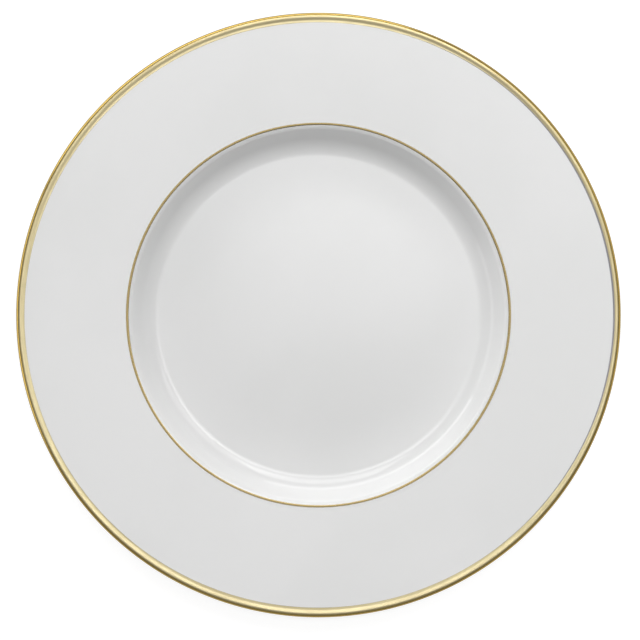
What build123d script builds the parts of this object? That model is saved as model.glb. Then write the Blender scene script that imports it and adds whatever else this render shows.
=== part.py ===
from build123d import *
import os
from math import cos, radians, sin, tan

# China dinner plate with a wide, barely rising rim, a domed well and a gilded lip.
# Millimetres. The plate stands on its foot ring: z = 0 is the ring's resting
# face and the z axis is the plate's axis of revolution.
#
# Every layer is turned from a section in the XZ plane, where x is the radius.
# The clay body is drawn first; the glaze and the gold are even coats over it,
# so their sections are offsets of the body's own outline.

# ---------------------------------------------------------------- coats
GLAZE = 0.2  # thickness of the glaze
GOLD = 0.16  # thickness of the gilding, raised gold
COATS = GLAZE + GOLD

# ---------------------------------------------------------------- outside size
PLATE_RADIUS = 135.0  # over the gold on the lip
LIP_RADIUS = PLATE_RADIUS - COATS  # of the bare body
VERGE_Z = 18.0  # where the rim's face and the wall's face would meet

# ---------------------------------------------------------------- lip
BEAD_RADIUS = 1.65  # the lip is rolled over into a low round bead
BEAD_HEIGHT = 0.25  # how far it stands above the line of the rim's face
BEAD_ANGLE = 14.5  # degrees from level, from the rim's face up on to the bead
BEAD_FILLET = 3.0
LIP_UNDERSIDE_Z = 17.0
# The lip is thrown round in short sides, each rounded into the next, so its
# roll is made of narrow rings.
LIP_SIDES = 4  # round each of its two edges
LIP_SOFTNESS = 0.9  # their fillets, as a share of the bead's radius

# ---------------------------------------------------------------- rim and wall
RIM_ANGLE = 2.5  # degrees: the rim's face rises this much towards the lip
UNDERSIDE_ANGLE = 3.2  # a little more, so the rim thickens towards the well
WALL_ANGLE = 54.0
VERGE_R = 84.05  # where the rim's face and the wall's face would meet
VERGE_RADIUS = 3.0  # roll from the rim down into the well
SHOULDER_R = 85.9  # where the rim's underside and the wall's back would meet
SHOULDER_RADIUS = 12.0

# ---------------------------------------------------------------- well
WELL_Z = 8.0  # lowest ring of the well, on the bare body
WELL_FILLET = 9.6  # from the floor up into the wall
BASE_THICKNESS = 4.0

# The floor and the base under it rise in a low dome, so that the middle never
# touches the table. Its slope runs from the trough's corner up to the crown's,
# and a large arc rounds each of the two.
DOME_ANGLE = 2.2  # degrees
DOME_TROUGH_R = 60.0
DOME_TROUGH_RADIUS = 400.0
DOME_CROWN_R = 25.0
DOME_CROWN_RADIUS = 1250.0

# ---------------------------------------------------------------- foot ring
FOOT_OUTER_R = 77.4  # where the outer flank would meet the table
FOOT_INNER_R = 74.9
FOOT_OUTER_DRAFT = 75.0  # degrees from level
FOOT_INNER_DRAFT = 80.0
FOOT_EDGE_RADIUS = 0.8
FOOT_NECK_Z = 4.0  # height at which the outer flank runs into the wall
FOOT_NECK_RADIUS = 5.0
FOOT_ROOT_RADIUS = 2.0  # inside the ring, up to the base
BARE_FOOT_Z = 0.8  # the glaze is wiped off below this height

# ---------------------------------------------------------------- gilding
LIP_BAND_INNER_R = 131.2  # on the face
LIP_BAND_BACK_R = 133.2  # underneath the lip
VERGE_LINE_INNER_R = 84.95
VERGE_LINE_OUTER_R = 86.05

# ---------------------------------------------------------------- derived
WALL_RUN = 1 / tan(radians(WALL_ANGLE))  # radius gained for each mm of height
DOME_RISE = (DOME_TROUGH_R - DOME_CROWN_R) * tan(radians(DOME_ANGLE))
WELL_CORNER_R = VERGE_R - (VERGE_Z - WELL_Z) * WALL_RUN
BASE_Z = WELL_Z - BASE_THICKNESS
RIM_RISE = tan(radians(RIM_ANGLE))
BEAD_RISE = tan(radians(BEAD_ANGLE))
BEAD_TOP_R = LIP_RADIUS - BEAD_RADIUS
# The slope up on to the bead is tangent to it, so it starts as far in as it
# takes to gain the bead's height and the tangent's own height over the bead.
TANGENT_HEIGHT = BEAD_RADIUS * (1 / cos(radians(BEAD_ANGLE)) - 1)
BEAD_FOOT_R = BEAD_TOP_R - (BEAD_HEIGHT + TANGENT_HEIGHT) / (BEAD_RISE - RIM_RISE)
BEAD_FOOT_Z = VERGE_Z + (BEAD_FOOT_R - VERGE_R) * RIM_RISE
LIP_CORNER_Z = BEAD_FOOT_Z + (LIP_RADIUS - BEAD_FOOT_R) * BEAD_RISE
SHOULDER_Z = LIP_UNDERSIDE_Z - (LIP_RADIUS - SHOULDER_R) * tan(radians(UNDERSIDE_ANGLE))
NECK_R = FOOT_OUTER_R + FOOT_NECK_Z / tan(radians(FOOT_OUTER_DRAFT))
FOOT_ROOT_R = FOOT_INNER_R - BASE_Z / tan(radians(FOOT_INNER_DRAFT))


def rolled_edge(r, z, heading, turn):
    """Corners of the short sides that take the outline round the edge at (r, z).

    The outline arrives on that heading, in degrees up from level, and turns
    down by that many degrees on the bead's radius.
    """
    reach = BEAD_RADIUS * tan(radians(turn / 2))
    start_r = r - reach * cos(radians(heading))
    start_z = z - reach * sin(radians(heading))
    middle_r = start_r + BEAD_RADIUS * sin(radians(heading))
    middle_z = start_z - BEAD_RADIUS * cos(radians(heading))
    out = BEAD_RADIUS / cos(radians(turn / LIP_SIDES / 2))
    rolled = []
    for side in range(LIP_SIDES):
        lean = radians(heading - turn * (side + 0.5) / LIP_SIDES)
        point = (middle_r - out * sin(lean), middle_z + out * cos(lean))
        rolled.append((point, BEAD_RADIUS * LIP_SOFTNESS))
    return rolled


PAST_AXIS = -2.0  # the outline runs on to here, so its offsets are square at the axis
SPLIT_Z = 6.2  # between the base's two faces
SPLIT_R = (FOOT_OUTER_R + FOOT_INNER_R) / 2  # middle of the foot ring
LIP_MIDDLE_Z = (BEAD_FOOT_Z + LIP_UNDERSIDE_Z) / 2
VERGE_MIDDLE_Z = (VERGE_Z + SHOULDER_Z) / 2
REACH = PLATE_RADIUS + 10.0  # clear of everything

# The corners of the clay body, from the crown of the well over the verge and
# the lip, down the back to the foot ring and in under the base, each with the
# radius that rounds it.
corners = [
    ((DOME_CROWN_R, WELL_Z + DOME_RISE), DOME_CROWN_RADIUS),
    ((DOME_TROUGH_R, WELL_Z), DOME_TROUGH_RADIUS),
    ((WELL_CORNER_R, WELL_Z), WELL_FILLET),
    ((VERGE_R, VERGE_Z), VERGE_RADIUS),
    ((BEAD_FOOT_R, BEAD_FOOT_Z), BEAD_FILLET),
    *rolled_edge(LIP_RADIUS, LIP_CORNER_Z, BEAD_ANGLE, 90 + BEAD_ANGLE),
    *rolled_edge(LIP_RADIUS, LIP_UNDERSIDE_Z, -90, 90 - UNDERSIDE_ANGLE),
    ((SHOULDER_R, SHOULDER_Z), SHOULDER_RADIUS),
    ((NECK_R, FOOT_NECK_Z), FOOT_NECK_RADIUS),
    ((FOOT_OUTER_R, 0), FOOT_EDGE_RADIUS),
    ((FOOT_INNER_R, 0), FOOT_EDGE_RADIUS),
    ((FOOT_ROOT_R, BASE_Z), FOOT_ROOT_RADIUS),
    ((DOME_TROUGH_R, BASE_Z), DOME_TROUGH_RADIUS),
    ((DOME_CROWN_R, BASE_Z + DOME_RISE), DOME_CROWN_RADIUS),
]
crown = (PAST_AXIS, WELL_Z + DOME_RISE)
base_centre = (PAST_AXIS, BASE_Z + DOME_RISE)

# ---------------------------------------------------------------- outlines
with BuildSketch(Plane.XZ) as body_outline:
    with BuildLine():
        FilletPolyline(
            crown,
            *[point for point, _ in corners],
            base_centre,
            radius=[radius for _, radius in corners],
        )
        Line(base_centre, crown)
    make_face()

with BuildSketch(Plane.XZ) as glazed_outline:
    add(body_outline.sketch_local)
    offset(amount=GLAZE, kind=Kind.INTERSECTION)

with BuildSketch(Plane.XZ) as gilded_outline:
    add(body_outline.sketch_local)
    offset(amount=COATS, kind=Kind.INTERSECTION)

# ---------------------------------------------------------------- clay body
with BuildPart() as porcelain_body:
    with BuildSketch(Plane.XZ):
        add(body_outline.sketch_local)
        Rectangle(REACH, 2 * REACH, align=(Align.MAX, Align.CENTER), mode=Mode.SUBTRACT)
    revolve(axis=Axis.Z)
porcelain_body.part.label = "porcelain_body"

# ---------------------------------------------------------------- glaze
# From the crown of the well over the whole face and lip, and down the back to
# the outer flank of the foot ring.
with BuildPart() as glaze_coat:
    with BuildSketch(Plane.XZ):
        add(glazed_outline.sketch_local)
        add(body_outline.sketch_local, mode=Mode.SUBTRACT)
        Rectangle(REACH, 2 * REACH, align=(Align.MAX, Align.CENTER), mode=Mode.SUBTRACT)
        with Locations((0, BARE_FOOT_Z)):
            Rectangle(REACH, REACH, align=(Align.MIN, Align.MAX), mode=Mode.SUBTRACT)
        with Locations((0, SPLIT_Z)):
            Rectangle(SPLIT_R, REACH, align=(Align.MIN, Align.MAX), mode=Mode.SUBTRACT)
    revolve(axis=Axis.Z)
glaze_coat.part.label = "glaze_coat"

# The same glaze inside the foot ring, cut off from the rest by the bare ring.
with BuildPart() as base_glaze:
    with BuildSketch(Plane.XZ):
        add(glazed_outline.sketch_local)
        add(body_outline.sketch_local, mode=Mode.SUBTRACT)
        with Locations((0, BARE_FOOT_Z)):
            Rectangle(
                SPLIT_R,
                SPLIT_Z - BARE_FOOT_Z,
                align=(Align.MIN, Align.MIN),
                mode=Mode.INTERSECT,
            )
    revolve(axis=Axis.Z)
base_glaze.part.label = "base_glaze"

# ---------------------------------------------------------------- gilding
# The band wraps the bead: it starts on the rim's face and ends underneath.
with BuildPart() as rim_gold_band:
    with BuildSketch(Plane.XZ):
        add(gilded_outline.sketch_local)
        add(glazed_outline.sketch_local, mode=Mode.SUBTRACT)
        with BuildLine():
            Polyline(
                (LIP_BAND_INNER_R, REACH),
                (LIP_BAND_INNER_R, LIP_MIDDLE_Z),
                (LIP_BAND_BACK_R, LIP_MIDDLE_Z),
                (LIP_BAND_BACK_R, 0),
                (REACH, 0),
                (REACH, REACH),
                close=True,
            )
        make_face(mode=Mode.INTERSECT)
    revolve(axis=Axis.Z)
rim_gold_band.part.label = "rim_gold_band"

# A thin line along the verge, where the rim starts to roll over into the well.
with BuildPart() as verge_gold_line:
    with BuildSketch(Plane.XZ):
        add(gilded_outline.sketch_local)
        add(glazed_outline.sketch_local, mode=Mode.SUBTRACT)
        with Locations((VERGE_LINE_INNER_R, VERGE_MIDDLE_Z)):
            Rectangle(
                VERGE_LINE_OUTER_R - VERGE_LINE_INNER_R,
                REACH,
                align=(Align.MIN, Align.MIN),
                mode=Mode.INTERSECT,
            )
    revolve(axis=Axis.Z)
verge_gold_line.part.label = "verge_gold_line"

# ---------------------------------------------------------------- files
os.makedirs("parts", exist_ok=True)
export_step(porcelain_body.part, "parts/porcelain_body.step")
export_step(glaze_coat.part, "parts/glaze_coat.step")
export_step(base_glaze.part, "parts/base_glaze.step")
export_step(rim_gold_band.part, "parts/rim_gold_band.step")
export_step(verge_gold_line.part, "parts/verge_gold_line.step")
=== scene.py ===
from bisect import bisect_left
from math import atan2, cos, pi, radians, sin, sqrt, tan

import bmesh
import bpy
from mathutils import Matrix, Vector


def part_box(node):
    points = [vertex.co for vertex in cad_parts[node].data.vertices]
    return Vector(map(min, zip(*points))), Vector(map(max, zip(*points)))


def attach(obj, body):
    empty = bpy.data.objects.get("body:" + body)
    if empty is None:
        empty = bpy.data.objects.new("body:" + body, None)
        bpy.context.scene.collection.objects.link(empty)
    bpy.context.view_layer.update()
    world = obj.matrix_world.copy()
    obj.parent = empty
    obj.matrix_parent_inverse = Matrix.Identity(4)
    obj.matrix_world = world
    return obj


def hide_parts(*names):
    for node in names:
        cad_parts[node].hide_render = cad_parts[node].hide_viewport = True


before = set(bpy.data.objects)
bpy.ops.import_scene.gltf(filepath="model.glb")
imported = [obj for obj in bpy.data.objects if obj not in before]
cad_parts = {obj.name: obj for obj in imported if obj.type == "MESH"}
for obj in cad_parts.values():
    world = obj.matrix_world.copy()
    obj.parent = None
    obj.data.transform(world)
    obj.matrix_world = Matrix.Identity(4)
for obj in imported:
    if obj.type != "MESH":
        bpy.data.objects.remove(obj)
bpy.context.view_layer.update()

MM = 0.001

# The china dinner plate's looks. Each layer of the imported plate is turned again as
# a fine closed mesh on the same section, with the small unevenness of glaze that
# was wiped by hand and gold that was lined by hand, and gets a procedural material.

# ---------------------------------------------------------------- from the frame
PLATE_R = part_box("rim_gold_band")[1].x / MM
LIP_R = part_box("porcelain_body")[1].x / MM
GLAZED_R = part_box("glaze_coat")[1].x / MM
GLAZE = GLAZED_R - LIP_R
GOLD = PLATE_R - GLAZED_R
LIP_Z = 18.7  # height of the widest ring

# ---------------------------------------------------------------- section, in mm
# The clay body's outline has the same corners and radii as the CAD solid.
VERGE_R = 84.05
VERGE_Z = 18.0
VERGE_RADIUS = 3.0
BEAD_RADIUS = 1.65
BEAD_HEIGHT = 0.25
BEAD_ANGLE = radians(14.5)
BEAD_FILLET = 3.0
LIP_UNDERSIDE_Z = 17.0
RIM_RISE = tan(radians(2.5))
UNDERSIDE_RISE = tan(radians(3.2))
WALL_RUN = 1 / tan(radians(54.0))
SHOULDER_R = 85.9
SHOULDER_RADIUS = 12.0
WELL_Z = 8.0
WELL_FILLET = 9.6
BASE_Z = 4.0
DOME_TROUGH_R = 60.0
DOME_TROUGH_RADIUS = 400.0
DOME_CROWN_R = 25.0
DOME_CROWN_RADIUS = 1250.0
DOME_RISE = (DOME_TROUGH_R - DOME_CROWN_R) * tan(radians(2.2))
FOOT_OUTER_R = 77.4
FOOT_INNER_R = 74.9
FOOT_EDGE_RADIUS = 0.8
FOOT_NECK_R = FOOT_OUTER_R + 4.0 / tan(radians(75.0))
FOOT_NECK_Z = 4.0
FOOT_NECK_RADIUS = 5.0
FOOT_ROOT_R = FOOT_INNER_R - BASE_Z / tan(radians(80.0))
FOOT_ROOT_RADIUS = 2.0

WELL_CORNER_R = VERGE_R - (VERGE_Z - WELL_Z) * WALL_RUN
BEAD_LIFT = BEAD_HEIGHT + BEAD_RADIUS * (1 / cos(BEAD_ANGLE) - 1)
BEAD_FOOT_R = LIP_R - BEAD_RADIUS - BEAD_LIFT / (tan(BEAD_ANGLE) - RIM_RISE)
BEAD_FOOT_Z = VERGE_Z + (BEAD_FOOT_R - VERGE_R) * RIM_RISE
LIP_CORNER_Z = BEAD_FOOT_Z + (LIP_R - BEAD_FOOT_R) * tan(BEAD_ANGLE)
SHOULDER_Z = LIP_UNDERSIDE_Z - (LIP_R - SHOULDER_R) * UNDERSIDE_RISE

CORNERS = [  # (radius from the axis, height, fillet radius), crown to base
    (0, WELL_Z + DOME_RISE, 0),
    (DOME_CROWN_R, WELL_Z + DOME_RISE, DOME_CROWN_RADIUS),
    (DOME_TROUGH_R, WELL_Z, DOME_TROUGH_RADIUS),
    (WELL_CORNER_R, WELL_Z, WELL_FILLET),
    (VERGE_R, VERGE_Z, VERGE_RADIUS),
    (BEAD_FOOT_R, BEAD_FOOT_Z, BEAD_FILLET),
    (LIP_R, LIP_CORNER_Z, BEAD_RADIUS),
    (LIP_R, LIP_UNDERSIDE_Z, BEAD_RADIUS),
    (SHOULDER_R, SHOULDER_Z, SHOULDER_RADIUS),
    (FOOT_NECK_R, FOOT_NECK_Z, FOOT_NECK_RADIUS),
    (FOOT_OUTER_R, 0, FOOT_EDGE_RADIUS),
    (FOOT_INNER_R, 0, FOOT_EDGE_RADIUS),
    (FOOT_ROOT_R, BASE_Z, FOOT_ROOT_RADIUS),
    (DOME_TROUGH_R, BASE_Z, DOME_TROUGH_RADIUS),
    (DOME_CROWN_R, BASE_Z + DOME_RISE, DOME_CROWN_RADIUS),
    (0, BASE_Z + DOME_RISE, 0),
]

# ---------------------------------------------------------------- mesh fineness
ARC_STEP = radians(6.0)
LONGEST_RUN = 6.0
SEGMENTS = 360

# ---------------------------------------------------------------- hand work, in mm
GOLD_INNER_R = 130.8  # mean radius where the lip's gilding starts on the rim
GOLD_BACK_R = 133.2  # where it ends underneath
GOLD_FEATHER = 0.22  # the gilding thins out over this width at its edges
DARK_REFLECTION_STRIP_WIDTH = 0.85  # widest strip along the lip gilding's inner edge where the gold is thin and a dark reflection is painted in grey
CREST_R = 133.45  # the gold is laid deeper outside the bead's crest; its darker brown there is partly painted shade for the outward-turned lip's dark reflection
CREST_WIDTH = 0.8
LINE_INNER_R = 84.95
LINE_OUTER_R = 86.05
BARE_FOOT_Z = 0.8
GLAZE_EDGE_WIDTH = 1.6  # the glaze thins to nothing over this length at its wiped edge
GLAZE_EDGE_RINGS = 7
GLAZE_EDGE_CLEAR = 2.2  # rings nearer the edge than this give way to the wiped ones
GOLD_SUNK = 0.02  # how far the gold's underside lies below the glaze's face
GOLD_EDGE_RINGS = 10
LIP_GOLD_RINGS = 54
LINE_GOLD_RINGS = 22


# ---------------------------------------------------------------- section
def arc(centre, spoke, turn, radius):
    """Points and outward normals of one fillet of the outline."""
    steps = max(4, round(abs(turn) / ARC_STEP), round(radius * abs(turn) / LONGEST_RUN))
    side = -1 if turn > 0 else 1
    rows = []
    for i in range(steps + 1):
        a = turn * i / steps
        turned = Vector((spoke.x * cos(a) - spoke.y * sin(a), spoke.x * sin(a) + spoke.y * cos(a)))
        rows.append((centre + turned, turned.normalized() * side))
    return rows


def run(start, end):
    """Points and outward normals of one straight of the outline."""
    along = (end - start).normalized()
    steps = max(1, round((end - start).length / LONGEST_RUN))
    return [
        (start.lerp(end, i / steps), Vector((-along.y, along.x))) for i in range(steps + 1)
    ]


def section():
    """The rounded outline of the clay body from crown to base, and its running length."""
    rows = []
    at = Vector(CORNERS[0][:2])
    for before, corner, after in zip(CORNERS, CORNERS[1:], CORNERS[2:]):
        here = Vector(corner[:2])
        into = (here - Vector(before[:2])).normalized()
        out = (Vector(after[:2]) - here).normalized()
        turn = atan2(into.x * out.y - into.y * out.x, into.dot(out))
        reach = corner[2] * tan(abs(turn) / 2)
        start = here - into * reach
        side = 1 if turn > 0 else -1
        centre = start + Vector((-into.y, into.x)) * corner[2] * side
        rows += run(at, start) + arc(centre, start - centre, turn, corner[2])
        at = here + out * reach
    rows += run(at, Vector(CORNERS[-1][:2]))

    kept, length = [rows[0]], [0.0]
    for point, normal in rows[1:]:
        gap = (point - kept[-1][0]).length
        if gap > 0.001:
            kept.append((point, normal))
            length.append(length[-1] + gap)
    return kept, length


OUTLINE, LENGTH = section()


def at_length(s):
    """Point and outward normal of the outline, s mm from the crown along it."""
    i = min(max(bisect_left(LENGTH, s), 1), len(LENGTH) - 1)
    t = (s - LENGTH[i - 1]) / (LENGTH[i] - LENGTH[i - 1])
    (p, n), (q, m) = OUTLINE[i - 1 : i + 1]
    return p.lerp(q, t), n.lerp(m, t).normalized()


def length_where(test):
    """How far along the outline test(point, normal) first holds."""
    i = next(i for i, (p, n) in enumerate(OUTLINE) if test(p, n))
    lo, hi = LENGTH[i - 1], LENGTH[i]
    for _ in range(30):
        mid = (lo + hi) / 2
        if test(*at_length(mid)):
            hi = mid
        else:
            lo = mid
    return hi


def is_back(point, normal):
    return normal.y < 0


# ---------------------------------------------------------------- turning
def angles():
    return [2 * pi * k / SEGMENTS for k in range(SEGMENTS)]


def bump_at(angle, middle, half_width):
    """1 at an angle round the plate, falling smoothly to 0 at half_width either side."""
    away = abs((angle - middle + pi) % (2 * pi) - pi) / half_width
    return 0.5 + 0.5 * cos(pi * min(away, 1))


def ripple(angle, seed):
    """A slow wander between about -1 and 1 that closes up round the plate."""
    waves = ((2, 0.45), (3, 0.3), (5, 0.2), (9, 0.12), (17, 0.07))
    return sum(h * sin(n * angle + seed * (n + 1.7)) for n, h in waves)


def ring(place):
    """One ring of (position, normal): place(angle) gives length along the outline and coat."""
    made = []
    for angle in angles():
        s, coat = place(angle)
        point, normal = at_length(s)
        at = point + normal * coat
        way = Vector((cos(angle), sin(angle), 0))
        made.append((way * at.x + Vector((0, 0, at.y)), way * normal.x + Vector((0, 0, normal.y))))
    return made


def pole(z, up):
    """A single point on the axis that closes a cap."""
    return [(Vector((0, 0, z)), Vector((0, 0, up)))]


def turned(name, rings, closed, values=None):
    """A mesh object through the rings in turn. closed joins the last ring to the first."""
    mesh = bpy.data.meshes.new(name)
    start, verts, normals = [], [], []
    for made in rings:
        start.append(len(verts))
        verts += [p * MM for p, _ in made]
        normals += [n for _, n in made]
    faces = []
    pairs = list(zip(range(len(rings)), range(1, len(rings))))
    if closed:
        pairs.append((len(rings) - 1, 0))
    for a, b in pairs:
        for k in range(SEGMENTS):
            m = (k + 1) % SEGMENTS
            corners = [
                start[a] + (k if len(rings[a]) > 1 else 0),
                start[b] + (k if len(rings[b]) > 1 else 0),
                start[b] + (m if len(rings[b]) > 1 else 0),
                start[a] + (m if len(rings[a]) > 1 else 0),
            ]
            faces.append(list(dict.fromkeys(corners)))
    mesh.from_pydata(verts, [], faces)
    work = bmesh.new()
    work.from_mesh(mesh)
    bmesh.ops.recalc_face_normals(work, faces=work.faces)
    work.to_mesh(mesh)
    work.free()
    mesh.polygons.foreach_set("use_smooth", [True] * len(mesh.polygons))
    mesh.normals_split_custom_set_from_vertices(normals)
    for key, data in (values or {}).items():
        mesh.attributes.new(key, "FLOAT", "POINT").data.foreach_set("value", data)
    obj = bpy.data.objects.new(name, mesh)
    bpy.context.scene.collection.objects.link(obj)
    return obj


def turned_inwards(rings):
    """The same rings with normals that face the other way, for a coat's inner side."""
    return [[(p, -n) for p, n in made] for made in rings]


# ---------------------------------------------------------------- pieces
def clay_body():
    rings = [pole(OUTLINE[0][0].y, 1)]
    rings += [ring(lambda angle, s=s: (s, 0)) for s in LENGTH[1:-1]]
    rings.append(pole(OUTLINE[-1][0].y, -1))
    return turned("china_body", rings, closed=False)


def glaze_shell(name, fixed, edge, way):
    """The glaze between the axis and a hand-wiped edge near the foot.

    fixed are the lengths of rings that stay put, from the axis on. edge(angle) is
    where the glaze ends, and way is 1 if that lies further along the outline.
    """
    outer = [ring(lambda angle, s=s: (s, GLAZE)) for s in fixed]
    inner = [ring(lambda angle, s=s: (s, 0)) for s in fixed]
    for k in range(1, GLAZE_EDGE_RINGS + 1):
        left = 1 - k / GLAZE_EDGE_RINGS

        def place(angle, left=left):
            coat = GLAZE * sqrt(max(0.02, 1 - (1 - left) ** 6))
            return edge(angle) - way * GLAZE_EDGE_WIDTH * left, coat

        outer.append(ring(place))
        inner.append(ring(lambda angle, place=place: (place(angle)[0], 0)))
    up = OUTLINE[0] if way > 0 else OUTLINE[-1]
    tip = up[1].y
    rings = [pole(up[0].y + tip * GLAZE, tip)] + outer
    rings += turned_inwards(reversed(inner)) + [pole(up[0].y, -tip)]
    return turned(name, rings, closed=False)


def face_glaze():
    edge_s = length_where(lambda p, n: p.y < BARE_FOOT_Z and n.x > 0)
    fixed = [s for s in LENGTH[1:] if s < edge_s - GLAZE_EDGE_CLEAR]
    return glaze_shell("face_glaze", fixed, lambda a: edge_s + 0.14 * ripple(a, 1.3), 1)


def foot_glaze():
    def is_inner_flank(point, normal):
        return point.y > BARE_FOOT_Z and normal.x < 0 and point.x < 75.5 and normal.y < 0.2

    edge_s = length_where(is_inner_flank)
    fixed = [s for s in reversed(LENGTH[:-1]) if s > edge_s + GLAZE_EDGE_CLEAR]
    return glaze_shell("foot_glaze", fixed, lambda a: edge_s + 0.17 * ripple(a, 4.1), -1)


def gilding(name, starts, ends, rows, dark_reflection_strip_at, tone_and_shade_at):
    """A band of gold between two hand-drawn edges, thinning out at both.

    starts and ends give the lengths of its edges at an angle. The next argument gives,
    at an angle, the width of a strip beside the starting edge where the gold is thin and
    a dark reflection is painted in grey, and the last says, at a radius, how deep a gold
    is laid there: 0 pale and matt, 1 rich and burnished, 2 browned. The rich gold's
    darker brown is partly painted shade for the dark reflection of the outward-turned
    lip, and the browned gold's dark colour is painted shade.
    """
    outer, thin_gold_and_dark_reflection, tone_and_shade = [], [], []
    near = GOLD_EDGE_RINGS
    for k in range(rows + 1):

        def place(angle, k=k):
            a, b = starts(angle), ends(angle)
            dark_reflection_strip = dark_reflection_strip_at(angle)
            split = min(dark_reflection_strip + 0.35, (b - a) / 2)
            if k <= near:
                s = a + split * k / near
            else:
                t = (k - near) / (rows - near)
                s = a + split + (b - a - split) * (1 - (1 - t) ** 1.25)
            from_edge = min(s - a, b - s) / GOLD_FEATHER
            height = 1 - (1 - min(from_edge, 1)) ** 2
            if s - a < dark_reflection_strip:
                height = min(height, 0.35)
            return s, GLAZE + GOLD * max(height, 0.06), s - a, b - s, dark_reflection_strip

        outer.append(ring(lambda angle, place=place: place(angle)[:2]))
        for angle in angles():
            s, _, before, after, dark_reflection_strip = place(angle)
            tone_and_shade.append(tone_and_shade_at(at_length(s)[0].x))
            # The strip's mask paints a dark reflection in grey; the feather is the gold really thinning
            # at both edges.
            dark_reflection_mask = 1 - min(max((before - dark_reflection_strip + 0.08) / 0.16, 0), 1)
            feather = 1 - min(min(before, after) / 0.12, 1)
            thin_gold_and_dark_reflection.append(max(dark_reflection_mask if dark_reflection_strip > 0.06 else 0, feather * 0.8))

    inner = []
    for k in reversed(range(0, rows + 1, 2)):

        def under(angle, t=k / rows):
            return starts(angle) + (ends(angle) - starts(angle)) * t, GLAZE - GOLD_SUNK

        inner.append(ring(under))
    rings = outer + turned_inwards(inner)
    unseen = [0.0] * (len(inner) * SEGMENTS)
    return turned(name, rings, closed=True, values={"thin_gold_and_dark_reflection": thin_gold_and_dark_reflection + unseen, "tone_and_shade": tone_and_shade + unseen})


def front_length(radius):
    """How far along the outline the plate's front reaches a radius."""
    return length_where(lambda p, n: p.x > radius)


def lip_gilding():
    back = length_where(lambda p, n: is_back(p, n) and p.x < GOLD_BACK_R and p.y > 15)
    front = front_length(GOLD_INNER_R)

    def starts(angle):
        drift = 0.15 * cos(angle) + 0.05 * sin(angle) + 0.35 * cos(2 * angle) + 0.1 * sin(2 * angle)
        return front + drift + 0.05 * ripple(angle * 3, 2.2)

    def ends(angle):
        return back + 0.3 * ripple(angle, 5.5)

    # On the right side only, centred 8 degrees round, a grey strip of painted dark reflection runs along
    # the gilding's inner edge.
    def dark_reflection_strip_at(angle):
        return DARK_REFLECTION_STRIP_WIDTH * bump_at(angle, radians(8), radians(78))

    # Outside the crest the gold is darker and browner, partly burnished gold and partly painted shade for
    # the dark reflection of the outward-turned lip.
    def tone_and_shade_at(radius):
        return min(max((radius - CREST_R) / CREST_WIDTH + 0.5, 0), 1)

    return gilding("lip_gilding", starts, ends, LIP_GOLD_RINGS, dark_reflection_strip_at, tone_and_shade_at)


def verge_gilding():
    inner, outer = front_length(LINE_INNER_R), front_length(LINE_OUTER_R)
    return gilding(
        "verge_gilding",
        lambda a: inner + 0.07 * ripple(a, 3.1),
        lambda a: outer + 0.08 * ripple(a, 0.4),
        LINE_GOLD_RINGS,
        dark_reflection_strip_at=lambda angle: 0.0,
        # The whole verge line is the browned gold, darkened as painted shade for its dark reflections.
        tone_and_shade_at=lambda radius: 2.0,
    )


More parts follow.
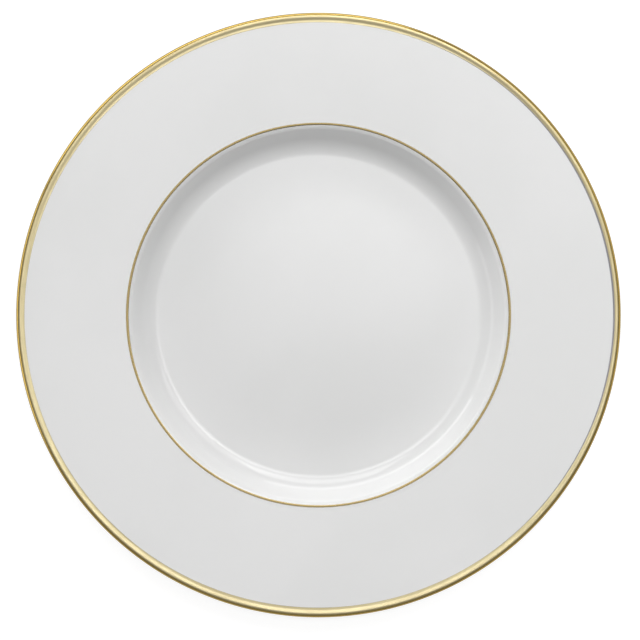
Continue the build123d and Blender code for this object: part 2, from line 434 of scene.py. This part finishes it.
# ---------------------------------------------------------------- materials
class Nodes:
    """A material's node tree, with short ways to add to it."""

    def __init__(self, name):
        self.material = bpy.data.materials.new(name)
        self.material.use_nodes = True
        self.tree = self.material.node_tree
        self.shader = self.tree.nodes["Principled BSDF"]
        self.coords = self.add("ShaderNodeTexCoord").outputs["Object"]

    def add(self, kind, inputs=None, **settings):
        node = self.tree.nodes.new(kind)
        for key, value in settings.items():
            setattr(node, key, value)
        for key, value in (inputs or {}).items():
            self.feed(node.inputs[key], value)
        return node

    def feed(self, socket, value):
        if isinstance(value, bpy.types.NodeSocket):
            self.tree.links.new(value, socket)
        else:
            socket.default_value = value

    def noise(self, scale, detail=3.0, rough=0.5, vector=None):
        inputs = {"Vector": vector or self.coords, "Scale": scale}
        inputs.update({"Detail": detail, "Roughness": rough})
        return self.add("ShaderNodeTexNoise", inputs).outputs["Fac"]

    def math(self, operation, a, b=0.0, c=0.0):
        node = self.add("ShaderNodeMath", operation=operation)
        for socket, value in zip(node.inputs, (a, b, c)):
            self.feed(socket, value)
        return node.outputs[0]

    def between(self, value, low, high, to_low=0.0, to_high=1.0):
        """value's range low..high stretched smoothly to to_low..to_high, clamped."""
        inputs = {"Value": value, "From Min": low, "From Max": high}
        inputs.update({"To Min": to_low, "To Max": to_high})
        return self.add("ShaderNodeMapRange", inputs, interpolation_type="SMOOTHSTEP").outputs[0]

    def blend(self, fac, a, b):
        node = self.add("ShaderNodeMix", data_type="RGBA")
        self.feed(node.inputs["Factor"], fac)
        for socket, value in zip([s for s in node.inputs if s.type == "RGBA"], (a, b)):
            self.feed(socket, value if isinstance(value, bpy.types.NodeSocket) else (*value, 1.0))
        return next(s for s in node.outputs if s.type == "RGBA")

    def relief(self, height, distance, under=None):
        """A bump of that many metres, on top of another."""
        node = self.add("ShaderNodeBump", {"Height": height, "Distance": distance, "Strength": 1.0})
        if under:
            self.feed(node.inputs["Normal"], under)
        return node.outputs["Normal"]

    def round_coords(self, turns, across):
        """Coordinates that run slowly round the plate and fast across it, with no seam."""
        split = self.add("ShaderNodeSeparateXYZ", {"Vector": self.coords})
        flat = self.add("ShaderNodeCombineXYZ", {"X": split.outputs["X"], "Y": split.outputs["Y"]})
        length = self.add("ShaderNodeVectorMath", {0: flat.outputs[0]}, operation="LENGTH")
        radius = length.outputs["Value"]
        way = self.add("ShaderNodeVectorMath", {0: flat.outputs[0]}, operation="NORMALIZE").outputs[0]
        slow = self.add("ShaderNodeVectorMath", {0: way, "Scale": turns}, operation="SCALE").outputs[0]
        outwards = self.math("MULTIPLY", radius, across)
        up = self.math("MULTIPLY", split.outputs["Z"], across)
        out = self.math("ADD", outwards, up)
        lift = self.add("ShaderNodeCombineXYZ", {"Z": out})
        return self.add("ShaderNodeVectorMath", {0: slow, 1: lift.outputs[0]}, operation="ADD").outputs[0]

    def finish(self, **sockets):
        for key, value in sockets.items():
            self.feed(self.shader.inputs[key.replace("_", " ")], value)
        return self.material


GLAZE_WHITE = (0.800, 0.800, 0.797)
GLAZE_SHADE = (0.775, 0.777, 0.772)
CLAY_PALE = (0.78, 0.745, 0.685)
CLAY_WARM = (0.70, 0.655, 0.585)
CLAY_WORN = (0.60, 0.575, 0.53)
SPECK = (0.36, 0.31, 0.25)
GOLD_PALE = (0.62, 0.54, 0.325)
GOLD_PALE_STREAK = (0.55, 0.475, 0.28)
# Darker, browner gold for outside the crest: partly painted shade for the lip's dark reflection.
GOLD_DEEP_AND_SHADED = (0.52, 0.365, 0.095)
GOLD_DEEP_STREAK_AND_SHADED = (0.44, 0.305, 0.075)
# Dark brown for the verge line: painted shade for its dark reflections.
GOLD_LINE_SHADED = (0.205, 0.158, 0.072)
# Grey of thin gold at the feathered edges, also painted as a dark reflection in the strip along the lip's
# inner edge.
GREY_THIN_GOLD_AND_DARK_REFLECTION = (0.34, 0.33, 0.345)


def white_glaze():
    """Clear glaze over white china: near white, wet gloss, faint swell and pitting."""
    n = Nodes("white_glaze_china")
    cloud = n.between(n.noise(14.0, 4.0), 0.35, 0.68)
    colour = n.blend(cloud, GLAZE_WHITE, GLAZE_SHADE)
    cells = n.add("ShaderNodeTexVoronoi", {"Vector": n.coords, "Scale": 95.0, "Randomness": 1.0})
    lot = n.add("ShaderNodeSeparateColor", {"Color": cells.outputs["Color"]}).outputs[0]
    rare = n.math("GREATER_THAN", lot, 0.985)
    dot = n.between(cells.outputs["Distance"], 0.012, 0.026, 0.55, 0.0)
    colour = n.blend(n.math("MULTIPLY", rare, dot), colour, SPECK)
    gloss = n.between(n.noise(55.0, 5.0, 0.6), 0.3, 0.75, 0.045, 0.10)
    swell = n.relief(n.noise(30.0, 2.0), 0.00006)
    peel = n.relief(n.noise(620.0, 2.0), 0.0000035, swell)
    return n.finish(Base_Color=colour, Roughness=gloss, Normal=peel, IOR=1.5)


def bare_porcelain():
    """Unglazed fired clay: dry, slightly warm, with grain, and grey where it is worn."""
    n = Nodes("bare_porcelain_clay")
    colour = n.blend(n.between(n.noise(160.0, 6.0, 0.65), 0.3, 0.7), CLAY_PALE, CLAY_WARM)
    height = n.add("ShaderNodeSeparateXYZ", {"Vector": n.coords}).outputs["Z"]
    rub = n.between(height, 0.0, 0.0005, 1.0, 0.0)
    patchy = n.between(n.noise(700.0, 5.0, 0.7), 0.42, 0.62)
    colour = n.blend(n.math("MULTIPLY", rub, patchy), colour, CLAY_WORN)
    dry = n.between(n.noise(300.0, 4.0), 0.3, 0.7, 0.72, 0.92)
    grain = n.relief(n.noise(3200.0, 4.0, 0.7), 0.00004)
    return n.finish(Base_Color=colour, Roughness=dry, Normal=grain)


def burnished_gold():
    """Gold painted on a turning plate and rubbed up: streaks run round and edges are thin. A grey strip
    along the lip's inner edge is painted dark reflection, the browner gold outside the crest is partly
    painted shade, and the verge line's dark brown is painted shade.
    """
    n = Nodes("burnished_gold_lining")
    fine = n.noise(1.0, 3.0, 0.6, n.round_coords(7.0, 5200.0))
    broad = n.noise(1.0, 3.0, 0.5, n.round_coords(2.5, 1100.0))
    patch = n.noise(90.0, 4.0, 0.6)
    tone = n.math("ADD", n.math("MULTIPLY", fine, 0.45), n.math("MULTIPLY", broad, 0.55))
    streak = n.between(tone, 0.38, 0.66)
    pale = n.blend(streak, GOLD_PALE, GOLD_PALE_STREAK)
    rich_and_shaded = n.blend(streak, GOLD_DEEP_AND_SHADED, GOLD_DEEP_STREAK_AND_SHADED)
    # Above 0 the gold turns darker and browner, partly painted shade; at 2 it is the verge line's dark
    # brown, painted shade.
    tone_and_shade = n.add("ShaderNodeAttribute", attribute_name="tone_and_shade").outputs["Fac"]
    colour = n.blend(tone_and_shade, pale, rich_and_shaded)
    colour = n.blend(n.between(tone_and_shade, 1.0, 2.0), colour, GOLD_LINE_SHADED)
    # Grey where the gold is thin at its edges, and grey painted as a dark reflection in the strip along
    # the lip's inner edge.
    thin_gold_and_dark_reflection = n.add("ShaderNodeAttribute", attribute_name="thin_gold_and_dark_reflection").outputs["Fac"]
    fray_and_dark_reflection = n.math("MULTIPLY", thin_gold_and_dark_reflection, n.between(patch, 0.25, 0.45, 0.75, 1.0))
    colour = n.blend(fray_and_dark_reflection, colour, GREY_THIN_GOLD_AND_DARK_REFLECTION)
    streaky = n.between(tone, 0.3, 0.7, 0.10, 0.20)
    dull = n.math("ADD", streaky, n.between(patch, 0.35, 0.7, 0.0, 0.05))
    dull = n.math("ADD", dull, n.between(tone_and_shade, 0.0, 1.0, 0.30, 0.0))
    dull = n.math("MULTIPLY_ADD", thin_gold_and_dark_reflection, 0.15, dull)
    strokes = n.relief(fine, 0.000002)
    wavy = n.relief(broad, 0.000006, strokes)
    tangent = n.add("ShaderNodeTangent", direction_type="RADIAL", axis="Z").outputs[0]
    return n.finish(
        Base_Color=colour, Roughness=dull, Normal=wavy, Metallic=1.0, Anisotropic=0.25, Tangent=tangent
    )


# ---------------------------------------------------------------- the plate
def dress(obj, node, material):
    obj.data.materials.append(material)
    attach(obj, "root")
    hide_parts(node)


GLAZE_FINISH = white_glaze()
GOLD_FINISH = burnished_gold()
dress(clay_body(), "porcelain_body", bare_porcelain())
dress(face_glaze(), "glaze_coat", GLAZE_FINISH)
dress(foot_glaze(), "base_glaze", GLAZE_FINISH)
dress(lip_gilding(), "rim_gold_band", GOLD_FINISH)
dress(verge_gilding(), "verge_gold_line", GOLD_FINISH)


# ---------------------------------------------------------------- studio
FLOOR_SIZE = 12.0
FLOOR_GLOW = 0.72  # added to the floor where the camera sees it
FLOOR_SPILL = 0.4  # the glow that lights the plate
BACKDROP = 1.0  # what the camera sees behind everything
FLOOR_WHITE = 0.45
AIR = 0.31  # light from all round
TARGET = Vector((0, 0, 0.018))
LIGHT_DISTANCE = 5.0
KEY_SIZE = (2.8, 2.35)
OVERHEAD_SIZE = 2.7
OVERHEAD_RADIANCE = 8.8
OVERHEAD_LEFT = 0.44  # its left side's share of its right side's light


def seen(tree, lighting, looks):
    """A strength that is looks where the camera sees it directly, and lighting elsewhere."""
    path, pick = tree.nodes.new("ShaderNodeLightPath"), tree.nodes.new("ShaderNodeMapRange")
    pick.inputs["To Min"].default_value = lighting
    pick.inputs["To Max"].default_value = looks
    tree.links.new(path.outputs["Is Camera Ray"], pick.inputs["Value"])
    return pick.outputs[0]


def pale_floor():
    """A pale lit table. It can't be seen from below, so the plate's back can."""
    mesh = bpy.data.meshes.new("floor")
    half = FLOOR_SIZE / 2
    corners = [(-half, -half), (half, -half), (half, half), (-half, half)]
    mesh.from_pydata([(x, y, -0.1 * MM) for x, y in corners], [], [(0, 1, 2, 3)])
    obj = bpy.data.objects.new("floor", mesh)
    bpy.context.scene.collection.objects.link(obj)
    material = bpy.data.materials.new("floor_paper")
    material.use_nodes = True
    tree = material.node_tree
    tree.nodes.clear()

    def node(kind):
        return tree.nodes.new(kind)

    paper, glow = node("ShaderNodeBsdfDiffuse"), node("ShaderNodeEmission")
    lit, pick = node("ShaderNodeAddShader"), node("ShaderNodeMixShader")
    side, clear = node("ShaderNodeNewGeometry"), node("ShaderNodeBsdfTransparent")
    out = node("ShaderNodeOutputMaterial")
    paper.inputs["Color"].default_value = (FLOOR_WHITE,) * 3 + (1,)
    tree.links.new(seen(tree, FLOOR_SPILL, FLOOR_GLOW), glow.inputs["Strength"])
    tree.links.new(paper.outputs[0], lit.inputs[0])
    tree.links.new(glow.outputs[0], lit.inputs[1])
    tree.links.new(side.outputs["Backfacing"], pick.inputs[0])
    tree.links.new(lit.outputs[0], pick.inputs[1])
    tree.links.new(clear.outputs[0], pick.inputs[2])
    tree.links.new(pick.outputs[0], out.inputs["Surface"])
    mesh.materials.append(material)


def softbox(name, azimuth, elevation, size, radiance):
    """A soft light aimed at the plate. azimuth 0 is +X and 90 is +Y, in degrees."""
    data = bpy.data.lights.new(name, "AREA")
    data.shape = "RECTANGLE"
    data.size, data.size_y = size
    data.energy = radiance * pi * size[0] * size[1]
    obj = bpy.data.objects.new(name, data)
    a, e = radians(azimuth), radians(elevation)
    obj.location = TARGET + Vector((cos(a) * cos(e), sin(a) * cos(e), sin(e))) * LIGHT_DISTANCE
    obj.rotation_euler = (TARGET - obj.location).to_track_quat("-Z", "Y").to_euler()
    obj.visible_camera = False
    bpy.context.scene.collection.objects.link(obj)
    return obj


def overhead_panel():
    """A big soft panel overhead, dark on its -Y side and brightest at its +X +Y corner."""
    panel = softbox("overhead", 0, 90, (OVERHEAD_SIZE, OVERHEAD_SIZE), OVERHEAD_RADIANCE)
    panel.rotation_euler = (0, 0, 0)
    panel.data.use_nodes = True
    tree = panel.data.node_tree
    place = tree.nodes.new("ShaderNodeNewGeometry")
    split = tree.nodes.new("ShaderNodeSeparateXYZ")
    along, across = tree.nodes.new("ShaderNodeMapRange"), tree.nodes.new("ShaderNodeMath")
    both = tree.nodes.new("ShaderNodeMath")
    along.inputs["To Min"].default_value = OVERHEAD_LEFT
    across.operation, across.inputs[1].default_value = "POWER", 2.0
    both.operation = "MULTIPLY"
    tree.links.new(place.outputs["Parametric"], split.inputs[0])
    tree.links.new(split.outputs["X"], along.inputs["Value"])
    tree.links.new(split.outputs["Y"], across.inputs[0])
    tree.links.new(along.outputs[0], both.inputs[0])
    tree.links.new(across.outputs[0], both.inputs[1])
    tree.links.new(both.outputs[0], tree.nodes["Emission"].inputs["Strength"])


def studio_air():
    """Light from all round, against a pale backdrop."""
    world = bpy.data.worlds.new("studio")
    world.use_nodes = True
    air = world.node_tree.nodes["Background"]
    air.inputs["Color"].default_value = (1, 1, 1, 1)
    world.node_tree.links.new(seen(world.node_tree, AIR, BACKDROP), air.inputs["Strength"])
    bpy.context.scene.world = world


def look_down():
    """Camera straight above the plate, +Y up in the picture."""
    lens, sensor = 100.0, 36.0
    half_view = 142.9 * MM
    data = bpy.data.cameras.new("camera")
    data.lens, data.sensor_width = lens, sensor
    obj = bpy.data.objects.new("camera", data)
    obj.location = (0.7 * MM, -2.2 * MM, LIP_Z * MM + half_view * 2 * lens / sensor)
    bpy.context.scene.collection.objects.link(obj)
    bpy.context.scene.camera = obj


pale_floor()
look_down()
studio_air()
softbox("key", 90, 55, KEY_SIZE, 2.95)
softbox("key_right", 45, 55, KEY_SIZE, 1.8)
softbox("low_back", 112, 8, (8.3, 1.75), 3.1)
softbox("low_left", 180, 8, (4.4, 1.75), 1.9)
softbox("low_right", 22, 8, (8.3, 1.75), 0.58)
overhead_panel()
bpy.context.scene.view_settings.view_transform = "Standard"
